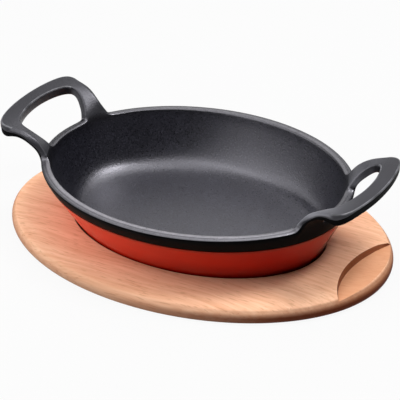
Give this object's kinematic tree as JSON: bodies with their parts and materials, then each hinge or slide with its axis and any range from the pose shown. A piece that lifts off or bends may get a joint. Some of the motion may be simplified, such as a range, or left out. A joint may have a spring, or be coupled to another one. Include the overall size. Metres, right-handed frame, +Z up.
{
  "type": "oval cast iron pan on a serving board",
  "caption": "Oval enamelled cast iron pan with a raised loop handle at each end, seated in the recess of an oval beech serving board, from which it lifts off for cooking.",
  "frame": {"origin": "middle of the serving board's underside", "axes": "+X along the pan's long axis towards the board's scooped end, +Z up"},
  "size_m": [0.3026, 0.21, 0.0815],
  "materials": {
    "black_enamelled_iron": "satin, finely textured matt black enamel",
    "orange_enamel": "gloss vitreous enamel, opaque",
    "beech": "oiled, satin"
  },
  "bodies": {
    "board": {"serving_board": "beech"},
    "pan": {"pan_casting": "black_enamelled_iron", "enamel_coat": "orange_enamel"}
  },
  "joints": [
    {"name": "pan_lift", "type": "slide", "parent": "board", "child": "pan", "axis": [0, 0, 1], "range_m": [0, 0.09]}
  ]
}
